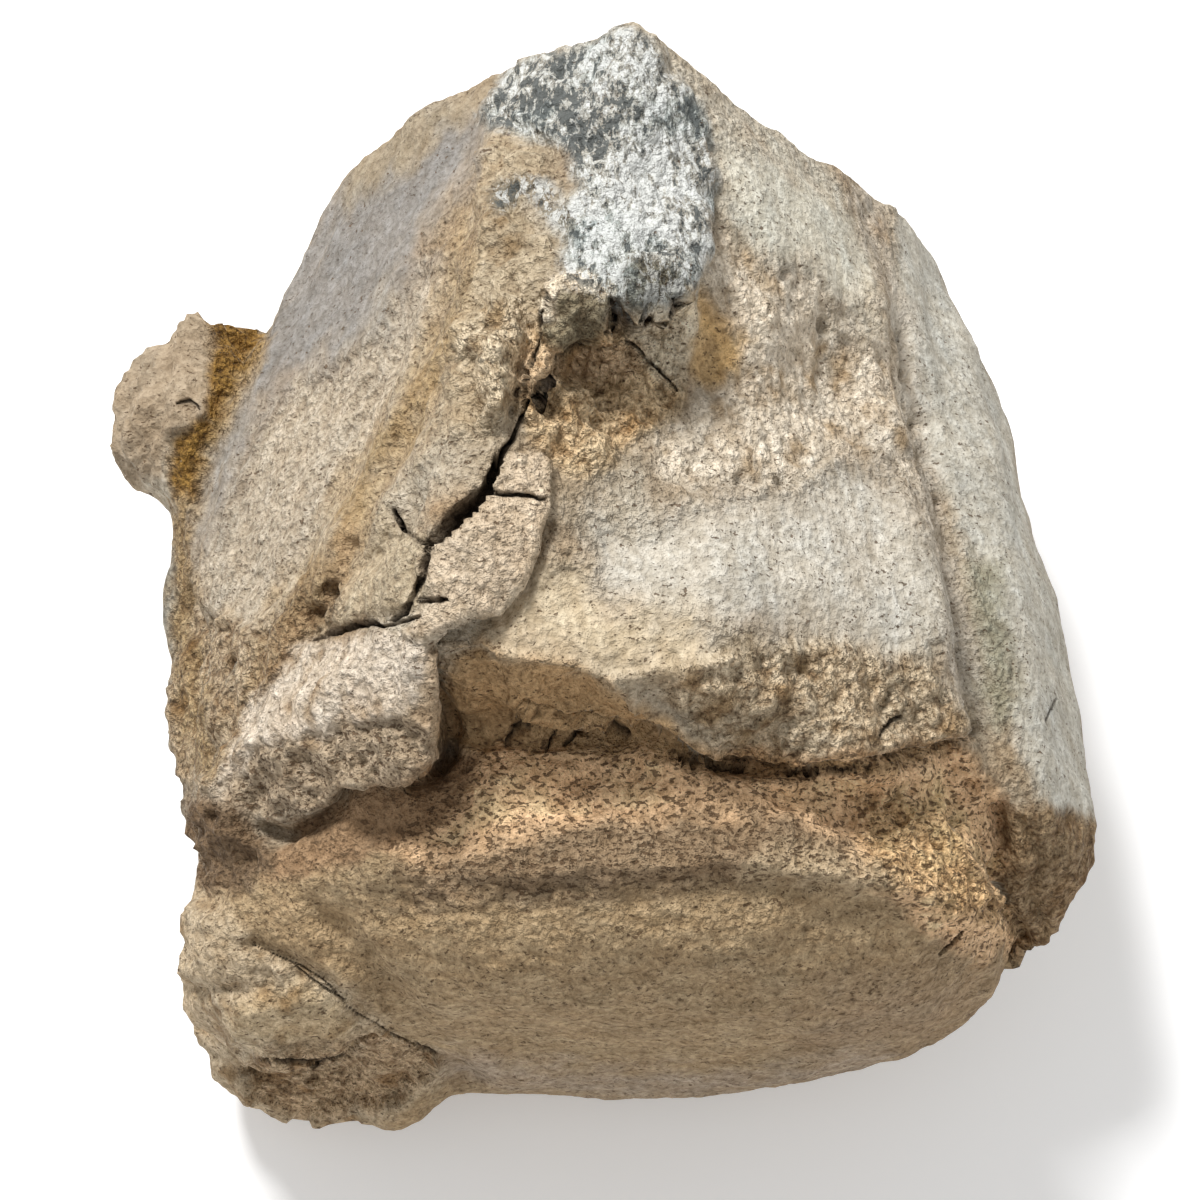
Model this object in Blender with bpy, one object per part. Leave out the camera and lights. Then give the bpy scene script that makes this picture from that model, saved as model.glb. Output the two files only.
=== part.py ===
"""A weathered fossil whale vertebra: the barrel of the bone with the broken foot of its arch, an end plate at
either end and the stubs of its side processes, grown and fossilised as one piece.

The bone lies on its underside. X runs across it, +Y from the near end plate towards the far end, +Z up. It is
blocked out at its real size in millimetres from lofts, end plates and knobs, fused into one skin, hollowed and
roughened, thinned to few faces, cracked, and cut flat where it rests.
"""

import math

import bmesh
import bpy
import numpy as np
from mathutils import Euler, Matrix, Vector, noise

MM = 0.001

# Driving dimensions, in millimetres
NEAR_PLATE = {"centre": (1, -58, 63), "width": 178, "height": 124, "lean_deg": 2}
FAR_PLATE = {"centre": (4, 70, 58), "width": 128, "height": 98, "lean_deg": 180}
STATIONS = 26
SKIN_VOXEL = 2.2
SMOOTHING = 4
TRIANGLES = 8800
FLOOR_CUT = 3.0
CENTRE = (-3.5, 2.7)

# An end plate's thickness ahead of its centre against its share of the full radius, from the root to the dome
PLATE_PROFILE = [
    (-34, 0.88), (-20, 0.95), (-8, 0.98), (4, 1.0), (14, 0.985), (21, 0.94),
    (27, 0.86), (32, 0.72), (36, 0.54), (38, 0.34), (39, 0.14),
]
PLATE_SIDES = 48
PLATE_SQUARENESS = 2.25

# Lines that run along the barrel, in order round it, each from the near end plate to the far end
RAILS = {
    "crest": [(-30, -41, 157), (-24, -14, 166), (-12, 18, 169), (0, 52, 169), (8, 97, 168)],
    "crest_right": [(-20, -41, 155), (-13, -12, 160), (4, 20, 162), (21, 55, 159), (18, 96, 156)],
    "right_roof": [(22, -41, 149), (26, -8, 149), (34, 24, 142), (42, 58, 140), (42, 96, 128)],
    "right_knee": [(72, -44, 115), (71, -8, 118), (68, 38, 110), (69, 70, 102), (69, 97, 95)],
    "knee_groove": [(80, -45, 102), (76, -8, 104), (73, 38, 97), (75, 70, 90), (75, 97, 84)],
    "right_shoulder": [(95, -51, 94), (91, -10, 98), (88, 38, 90), (84, 70, 81), (79, 98, 75)],
    "right_side": [(108, -56, 66), (107, -15, 66), (99, 45, 62), (91, 75, 59), (81, 98, 55)],
    "right_low": [(96, -60, 36), (96, -15, 27), (88, 40, 27), (78, 75, 27), (70, 96, 28)],
    "bottom_right": [(62, -50, 10), (58, -15, 9), (54, 40, 9), (50, 75, 9), (46, 94, 10)],
    "bottom": [(0, -52, 2), (0, -15, -1), (0, 40, -1), (0, 75, 0), (0, 94, 5)],
    "bottom_left": [(-58, -50, 10), (-55, -15, 9), (-52, 40, 9), (-46, 75, 9), (-42, 96, 10)],
    "left_low": [(-84, -48, 32), (-92, -12, 26), (-90, 36, 26), (-66, 78, 28), (-54, 100, 30)],
    "left_side": [(-90, -46, 60), (-99, -8, 50), (-101, 26, 52), (-72, 78, 62), (-57, 104, 66)],
    "left_knee": [(-84, -44, 88), (-90, -6, 80), (-89, 34, 79), (-71, 84, 87), (-59, 107, 94)],
    "left_roof": [(-62, -43, 121), (-63, -8, 119), (-58, 26, 116), (-51, 62, 119), (-39, 104, 128)],
    "crest_left": [(-37, -42, 153), (-33, -14, 161), (-25, 18, 165), (-22, 56, 163), (-19, 102, 143)],
}

# Angular parts, as the corners of a block each
BLOCKS = {
    "left_flange": [
        (-30, -38, 159), (-31, -56, 149), (-31, -58, 134), (-52, -38, 141), (-58, -57, 122), (-60, -60, 101),
        (-78, -42, 108), (-76, -55, 101), (-77, -62, 78), (-87, -46, 96), (-90, -54, 84), (-84, -60, 74),
        (-60, -30, 100), (-34, -34, 125),
    ],
    "right_flank": [
        (78, -42, 104), (88, -56, 92), (106, -58, 72), (108, -40, 74), (104, -66, 56), (92, -74, 44),
        (80, -60, 90), (74, -40, 60), (100, -30, 60), (86, -40, 30), (98, -56, 36),
    ],
    "front_ledge": [
        (-22, -40, 153), (2, -43, 150), (22, -41, 149), (45, -46, 136), (60, -48, 127), (71, -44, 115),
        (-18, -48, 134), (8, -50, 132), (34, -51, 126), (58, -51, 116), (-10, -30, 140), (50, -30, 116),
    ],
    "arch_lip": [
        (-12, 34, 172), (-5, 27, 172), (8, 23, 173), (18, 27, 168), (22, 42, 161), (22, 62, 160),
        (-14, 62, 169), (-12, 31, 162), (8, 27, 161), (19, 33, 158),
    ],
    "flake": [
        (-21, -3, 168), (-10, -4, 163), (-8, -12, 161), (-12, -27, 158), (-24, -36, 159), (-33, -31, 163),
        (-29, -16, 167), (-20, -6, 150), (-12, -25, 148), (-28, -30, 150),
    ],
    "process_stub": [
        (-88, 80, 78), (-93, 83, 60), (-108, 74, 70), (-115, 60, 68), (-116, 50, 62), (-111, 42, 58),
        (-104, 40, 68), (-98, 54, 84), (-90, 44, 80), (-108, 48, 46), (-100, 74, 46), (-80, 36, 50),
    ],
}

# Lumps: centre, half sizes, turn about Z in degrees, and how far their surface wanders
KNOBS = {
    "lump_upper": ((-67, -75, 64), (22, 21, 33), 15, 0.10),
    "lump_lower": ((-65, -77, 27), (27, 22, 27), -10, 0.10),
    "lump_inner": ((-47, -84, 36), (15, 18, 25), 0, 0.12),
    "process_root": ((-86, 54, 58), (18, 30, 26), 0, 0.14),
}

# Hollows cut clean through: a centre line and the radii along it
HOLLOWS = {
    "ledge_undercut": (
        [(-20, -55, 129), (-2, -56, 128), (14, -55, 130), (30, -57, 125), (50, -57, 117), (70, -53, 107)],
        [5, 7, 5, 4.5, 5, 3],
    ),
    "arch_gap": ([(-24, -34, 158), (-26, -46, 146), (-27, -56, 132), (-25, -64, 127)], [2.5, 5, 7, 5]),
    "under_arch_lip": ([(-9, 16, 163), (2, 20, 161), (14, 26, 158)], [3, 5.5, 4]),
}

# Strokes pressed into the skin, or raised where the depth is negative: a line, its reach and its depth
STROKES = {
    "arch_hollow": ([(-8, 6, 164), (2, 10, 161), (14, 18, 157)], 16, 5),
    "crest_valley": ([(-18, 12, 168), (-19, -7, 167), (-28, -17, 165)], 7, 2),
    "arch_stain_dip": ([(21, 38, 158), (25, 26, 149)], 7, 2),
    "knee_groove": ([(67, 60, 107), (66, 43, 110), (70, 24, 110), (74, 0, 107), (80, -33, 103), (88, -56, 92)], 7, 4),
    "knee_ridge": ([(60, 60, 116), (62, 20, 121), (66, -20, 119)], 9, -2),
    "left_fissure": ([(-36, -8, 156), (-43, -14, 148), (-51, -13, 136), (-61, -23, 122)], 6, 4),
    "left_ridge": ([(-24, 47, 162), (-32, 28, 152), (-44, 14, 138), (-53, -4, 131)], 8, -2),
    "left_valley": ([(-36, 62, 146), (-46, 36, 134), (-58, 12, 122), (-66, -12, 112)], 11, 2.5),
    "left_pit": ([(-96, 7, 66), (-87, -9, 84), (-80, -17, 94)], 10, 4),
    "matrix_furrow": ([(-84, 76, 76), (-86, 46, 82), (-91, 20, 76), (-93, 0, 74), (-90, -22, 78)], 7, 3.5),
    "side_strip": ([(-100, 30, 62), (-101, 4, 58), (-98, -20, 60)], 8, -2),
    "roof_pits": ([(16, 2, 151), (27, 0, 148), (35, 7, 142)], 6, 1.6),
    "roof_pit_high": ([(47, 44, 130), (52, 36, 127)], 7, 1.8),
    "roof_dip": ([(10, 10, 155), (30, 20, 143), (48, 30, 131)], 16, 1.5),
    "roof_swell": ([(12, -26, 153), (36, -26, 145), (56, -22, 134)], 15, -2),
    "ledge_bight": ([(-6, -47, 142), (6, -50, 139)], 9, 3),
    "ledge_arch": ([(26, -52, 129), (34, -54, 126)], 6, 4),
    "ledge_boss": ([(48, -50, 128), (58, -51, 120)], 9, -3),
    "plate_notch": ([(74, -46, 107), (82, -56, 96), (88, -68, 75), (92, -72, 50)], 8, 5),
    "plate_rim": ([(-44, -70, 118), (-8, -70, 125), (30, -70, 123), (62, -72, 111), (84, -78, 80)], 7, -2),
    "plate_furrow": ([(-54, -78, 109), (-30, -77, 119), (0, -76, 123), (30, -76, 121), (60, -79, 106)], 7, 1.5),
    "plate_arc": ([(-36, -90, 98), (-10, -88, 110), (20, -87, 112), (50, -88, 99), (67, -89, 77)], 9, -1.2),
    "plate_middle": ([(-10, -98, 62), (20, -98, 60)], 38, 3),
    "flank_break": ([(104, -60, 60), (100, -62, 40)], 12, 3),
    "lump_edge": ([(-56, -80, 108), (-44, -90, 98), (-39, -97, 84), (-33, -100, 62), (-30, -98, 40)], 8, 5),
    "lump_shelf": ([(-44, -101, 58), (-60, -100, 58), (-80, -92, 56)], 8, -2),
    "lump_under_shelf": ([(-44, -101, 44), (-60, -99, 44), (-80, -93, 42)], 8, 3.5),
    "flange_porous_end": ([(-84, -58, 84), (-76, -64, 84)], 10, 3),
    "stub_cleft": ([(-104, 62, 74), (-102, 44, 60)], 7, 3),
    "far_plate_dish": ([(-12, 110, 62), (18, 110, 60)], 34, 4),
    "far_break": ([(10, 106, 140), (30, 104, 126), (-20, 108, 124)], 16, 4),
    "right_waist": ([(104, 20, 46), (92, 60, 44)], 22, 4),
    "left_waist": ([(-100, 0, 30), (-88, 30, 26)], 20, 4),
    "left_foramen": ([(-50, 18, 7), (-47, 27, 7)], 9, 7),
    "right_foramen": ([(51, 20, 7), (49, 29, 7)], 9, 7),
}

# Open cracks: a line on the skin, the half width along it and the depth
CRACKS = {
    "main": (
        [(-16, 12, 167), (-17, 2, 167), (-19, -7, 166), (-24, -13, 166), (-28, -17, 165), (-32, -19, 163), (-36, -27, 157)],
        [0.6, 0.9, 1.3, 2.2, 1.8, 1.2, 0.4], 11,
    ),
    "left": ([(-42, -6, 148), (-37, -14, 155), (-32, -19, 163)], [0.5, 1.0, 0.9], 8),
    "low": ([(-60, -24, 123), (-51, -27, 137), (-44, -30, 146)], [0.5, 1.3, 0.6], 8),
}

# Smooth old bone surfaces, which the weathering spares: middle and reach
CORTEX = [
    ((46, -10, 138), 42), ((62, 60, 112), 34), ((88, 0, 96), 46), ((-66, 30, 108), 40), ((-44, 76, 126), 34),
    ((20, -96, 58), 50), ((96, -30, 70), 30),
]
ROUGH = 1.5
WORN = 0.2


def clear_scene():
    for old in list(bpy.data.objects):
        bpy.data.objects.remove(old)


def new_object(name, points, faces):
    """A closed mesh object in metres, faces outward, from points in millimetres."""
    work = bmesh.new()
    corners = [work.verts.new(Vector(p) * MM) for p in points]
    for face in faces:
        work.faces.new([corners[i] for i in face])
    bmesh.ops.recalc_face_normals(work, faces=work.faces)
    mesh = bpy.data.meshes.new(name)
    work.to_mesh(mesh)
    work.free()
    obj = bpy.data.objects.new(name, mesh)
    bpy.context.scene.collection.objects.link(obj)
    return obj


def smooth_path(points, count):
    """Points spread evenly along a Catmull-Rom curve through the given ones."""
    knots = [np.array(p, float) for p in points]
    knots = [2 * knots[0] - knots[1], *knots, 2 * knots[-1] - knots[-2]]
    path = []
    for i in range(count):
        place = i / (count - 1) * (len(points) - 1)
        span = min(int(place), len(points) - 2)
        t = place - span
        a, b, c, d = knots[span : span + 4]
        bend = (c - a) * t + (2 * a - 5 * b + 4 * c - d) * t**2 + (3 * b - a - 3 * c + d) * t**3
        path.append(b + 0.5 * bend)
    return path


def loft(name, lines):
    """A closed skin over lines that run side by side, with a fan of faces at either end."""
    sides, stations = len(lines), len(lines[0])
    points = [line[i] for i in range(stations) for line in lines]
    faces = []
    for i in range(stations - 1):
        for j in range(sides):
            k = (j + 1) % sides
            faces.append((i * sides + j, i * sides + k, (i + 1) * sides + k, (i + 1) * sides + j))
    for first in (0, (stations - 1) * sides):
        ring = range(first, first + sides)
        points.append(np.mean([points[i] for i in ring], axis=0))
        faces += [(i, first + (i - first + 1) % sides, len(points) - 1) for i in ring]
    return new_object(name, points, faces)


def end_plate(name, centre, width, height, lean_deg):
    """A thick plate with a rounded rim and a domed face towards -Y, leaning back by lean_deg."""
    turn = Euler((math.radians(-lean_deg), 0, 0)).to_matrix()
    lines = []
    for j in range(PLATE_SIDES):
        angle = 2 * math.pi * j / PLATE_SIDES
        across, up = (
            math.copysign(abs(f(angle)) ** (2 / PLATE_SQUARENESS), f(angle)) for f in (math.cos, math.sin)
        )
        line = []
        for ahead, share in PLATE_PROFILE:
            local = Vector((across * share * width / 2, -ahead, up * share * height / 2))
            line.append(np.array(Vector(centre) + turn @ local))
        lines.append(line)
    return loft(name, lines)


def knob(name, centre, radii, turn_deg, wander):
    """A lumpy ball of rock: a fine icosphere pushed in and out by noise."""
    work = bmesh.new()
    bmesh.ops.create_icosphere(work, subdivisions=4, radius=1)
    turn = Euler((0, 0, math.radians(turn_deg))).to_matrix()
    offset = Vector(centre) * 0.1
    for corner in work.verts:
        swell = 1 + wander * (noise.noise(corner.co * 1.6 + offset) + 0.5 * noise.noise(corner.co * 3.7 + offset))
        local = Vector(c * r for c, r in zip(corner.co * swell, radii))
        corner.co = (Vector(centre) + turn @ local) * MM
    mesh = bpy.data.meshes.new(name)
    work.to_mesh(mesh)
    work.free()
    obj = bpy.data.objects.new(name, mesh)
    bpy.context.scene.collection.objects.link(obj)
    return obj


def block(name, corners):
    """The convex block that has these corners."""
    work = bmesh.new()
    for corner in corners:
        work.verts.new(Vector(corner) * MM)
    made = bmesh.ops.convex_hull(work, input=work.verts)
    bmesh.ops.delete(work, geom=[v for v in made["geom_interior"] if v.is_valid], context="VERTS")
    bmesh.ops.recalc_face_normals(work, faces=work.faces)
    mesh = bpy.data.meshes.new(name)
    work.to_mesh(mesh)
    work.free()
    obj = bpy.data.objects.new(name, mesh)
    bpy.context.scene.collection.objects.link(obj)
    return obj


def tube(name, path, radii, sides=12):
    """A closed tube of changing radius along a path, for cutting hollows."""
    stations = 4 * len(path)
    centres = smooth_path(path, stations)
    widths = np.interp(np.linspace(0, 1, stations), np.linspace(0, 1, len(radii)), radii)
    lines = [[] for _ in range(sides)]
    for i, (centre, radius) in enumerate(zip(centres, widths)):
        along = Vector(centres[min(i + 1, stations - 1)] - centres[max(i - 1, 0)]).normalized()
        side = along.orthogonal() if abs(along.z) > 0.9 else along.cross(Vector((0, 0, 1))).normalized()
        rise = side.cross(along)
        for j, line in enumerate(lines):
            angle = 2 * math.pi * j / sides
            line.append(centre + np.array(side * math.cos(angle) + rise * math.sin(angle)) * radius)
    return loft(name, lines)


def bake(obj):
    """The object's mesh with its modifiers applied."""
    graph = bpy.context.evaluated_depsgraph_get()
    mesh = bpy.data.meshes.new_from_object(obj.evaluated_get(graph))
    obj.modifiers.clear()
    obj.data = mesh


def fuse(name, forms):
    """One skin round forms that overlap."""
    work = bmesh.new()
    for form in forms:
        work.from_mesh(form.data)
        bpy.data.objects.remove(form)
    mesh = bpy.data.meshes.new(name)
    work.to_mesh(mesh)
    work.free()
    obj = bpy.data.objects.new(name, mesh)
    bpy.context.scene.collection.objects.link(obj)
    skin(obj)
    return obj


def skin(obj):
    remesh = obj.modifiers.new("skin", "REMESH")
    remesh.mode = "VOXEL"
    remesh.voxel_size = SKIN_VOXEL * MM
    bake(obj)


def smooth(obj, times):
    relax = obj.modifiers.new("relax", "SMOOTH")
    relax.factor = 0.5
    relax.iterations = times
    bake(obj)


def distance_to_line(points, line):
    nearest = np.full(len(points), np.inf)
    for a, b in zip(line[:-1], line[1:]):
        a, b = np.array(a, float), np.array(b, float)
        share = np.clip((points - a) @ (b - a) / ((b - a) @ (b - a)), 0, 1)
        nearest = np.minimum(nearest, np.linalg.norm(points - a - share[:, None] * (b - a), axis=1))
    return nearest


def weather(obj):
    """Presses the strokes into the skin, then roughens it, least where the old surface survives."""
    mesh = obj.data
    count = len(mesh.vertices)
    flat = np.empty(count * 3)
    mesh.vertices.foreach_get("co", flat)
    points = flat.reshape(-1, 3) / MM
    normals = np.array([corner.normal[:] for corner in mesh.vertices])
    push = np.zeros(count)
    for line, reach, depth in STROKES.values():
        share = np.clip(distance_to_line(points, line) / reach, 0, 1)
        push -= depth * (1 - share**2) ** 2
    worn = np.zeros(count)
    for middle, reach in CORTEX:
        share = np.linalg.norm(points - middle, axis=1) / reach
        worn = np.maximum(worn, np.clip(1.6 - 1.6 * share, 0, 1))
    coarse = np.array([noise.fractal(Vector(p) / 30, 0.9, 2.1, 2) for p in points])
    crag = np.array([noise.ridged_multi_fractal(Vector(p) / 22, 0.9, 2.1, 2, 1.0, 2.0) - 1 for p in points])
    push += coarse * (1 + 0.6 * (1 - worn)) + crag * (WORN * worn + ROUGH * (1 - worn))
    moved = (points + normals * push[:, None]) * MM
    mesh.vertices.foreach_set("co", moved.ravel())
    mesh.update()


def thin(obj):
    collapse = obj.modifiers.new("thin", "DECIMATE")
    collapse.ratio = TRIANGLES / (2 * len(obj.data.vertices))
    collapse.use_collapse_triangulate = True
    bake(obj)


def crack(name, line, widths, depth):
    """A wedge that opens upward along a line on the skin, for cutting a crack."""
    ridge = [np.array(p, float) for p in line]
    sides = [[], [], []]
    for i, (point, width) in enumerate(zip(ridge, widths)):
        along = ridge[min(i + 1, len(ridge) - 1)] - ridge[max(i - 1, 0)]
        across = np.cross(along, (0, 0, 1))
        across = across / np.linalg.norm(across) * width
        lift = np.array([0, 0, 4])
        for side, offset in zip(sides, (across + lift, -across + lift, np.array([0, 0, -depth]))):
            side.append(point + offset)
    return loft(name, sides)


def cut_floor(obj):
    slab = [(x, y, z) for z in (-60, FLOOR_CUT) for y in (-200, 200) for x in (-200, 200)]
    subtract(obj, block("slab", slab))


def set_down(obj):
    """Moves the origin to the floor under the middle of the bone."""
    obj.data.transform(Matrix.Translation(Vector((-CENTRE[0], -CENTRE[1], -FLOOR_CUT)) * MM))


def stone(obj):
    colour = bpy.data.materials.new("fossil_bone")
    colour.use_nodes = True
    shader = colour.node_tree.nodes["Principled BSDF"]
    shader.inputs["Base Color"].default_value = (0.48, 0.40, 0.29, 1)
    shader.inputs["Roughness"].default_value = 0.85
    obj.data.materials.clear()
    obj.data.materials.append(colour)


def subtract(obj, cutter):
    cut = obj.modifiers.new("cut", "BOOLEAN")
    cut.operation = "DIFFERENCE"
    cut.object = cutter
    bake(obj)
    bpy.data.objects.remove(cutter)


def main():
    clear_scene()
    forms = [loft("barrel", [smooth_path(line, STATIONS) for line in RAILS.values()])]
    forms.append(end_plate("near_plate", **NEAR_PLATE))
    forms.append(end_plate("far_plate", **FAR_PLATE))
    forms += [block(name, corners) for name, corners in BLOCKS.items()]
    forms += [knob(name, *shape) for name, shape in KNOBS.items()]
    bone = fuse("vertebra", forms)
    for name, (path, radii) in HOLLOWS.items():
        subtract(bone, tube(name, path, radii))
    skin(bone)
    smooth(bone, SMOOTHING)
    weather(bone)
    for name, (line, widths, depth) in CRACKS.items():
        subtract(bone, crack(name, line, widths, depth))
    thin(bone)
    cut_floor(bone)
    set_down(bone)
    stone(bone)


main()
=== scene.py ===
"""A fossil whale vertebra lying on a white studio floor, seen steeply from in front.

The bone's solid from the frame is copied as a denser skin, sculpted in code and painted by region. Shapes
that were placed one by one are given as they look in the 1200 pixel square picture, and are carried onto
the bone along the camera's lines of sight. Lengths on the bone are in millimetres.
"""

import math

import bmesh
import bpy
import numpy as np
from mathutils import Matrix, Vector, noise
from mathutils.bvhtree import BVHTree


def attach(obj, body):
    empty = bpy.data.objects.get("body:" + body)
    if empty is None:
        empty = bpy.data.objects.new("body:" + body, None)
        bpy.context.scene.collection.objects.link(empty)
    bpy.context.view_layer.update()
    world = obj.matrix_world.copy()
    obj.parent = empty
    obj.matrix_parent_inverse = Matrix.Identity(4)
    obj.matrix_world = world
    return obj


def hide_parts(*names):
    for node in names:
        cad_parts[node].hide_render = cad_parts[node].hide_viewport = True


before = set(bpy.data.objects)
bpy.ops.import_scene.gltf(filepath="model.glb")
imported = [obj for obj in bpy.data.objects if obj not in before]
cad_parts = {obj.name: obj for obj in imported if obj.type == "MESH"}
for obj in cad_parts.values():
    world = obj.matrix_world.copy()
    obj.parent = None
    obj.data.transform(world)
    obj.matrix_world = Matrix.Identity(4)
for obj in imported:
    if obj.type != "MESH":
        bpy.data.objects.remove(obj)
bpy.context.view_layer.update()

MM = 0.001
PICTURE = 1200

# The skin: the size of its squares, its smoothing rounds, the share of its points kept where the camera never
# sees them, how near an overhang may be while what is under it still counts as seen, and how plainly a point
# has to be seen to get finer mesh
VOXEL = 2.3
RELAX = 4
HIDDEN_SHARE = 0.28
NEAR_OVERHANG = 9
BARELY_SEEN = 0.02

# How near a crack and a deep seam each round of finer mesh reaches, in pixels, and how many millimetres high
# or deep a seam has to be for that
FINER_REACH = ((10.5, 8), (5.2, 0))
DEEP_SEAM = 2

# Inner bone shows at both ends: up to this y at the near one, beyond this y and under this z at the far one
NEAR_PLATE_Y = -62
FAR_PLATE_Y = 92
FAR_PLATE_TOP = 125

# The studio
FLOOR_HALF = 14
FLOOR_GLOW = 0.22
SKY_STRENGTH = 0.56
KEY_PLACE = (-0.36, 0.58, 1.18)
KEY_AIM = (0, 0, 0.08)
KEY_SIZE = 0.3
KEY_POWER = 19
PAPER = (0.9, 0.9, 0.9, 1)
WHITE = (1, 1, 1, 1)
SENSOR_MM = 36

# The camera: what it looks at, how steeply and from how far, and pixels to the millimetre there
AIM = np.array((3.5, -2.7, 87.0))
ELEVATION_DEG = 66
DISTANCE = 620.0
PIXELS_PER_MM = 4.6
FOCAL_PIXELS = PIXELS_PER_MM * DISTANCE

tilt = math.radians(ELEVATION_DEG)
BACK = np.array((0, -math.cos(tilt), math.sin(tilt)))
UP = np.array((0, math.sin(tilt), math.cos(tilt)))
EYE = AIM + BACK * DISTANCE

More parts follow.
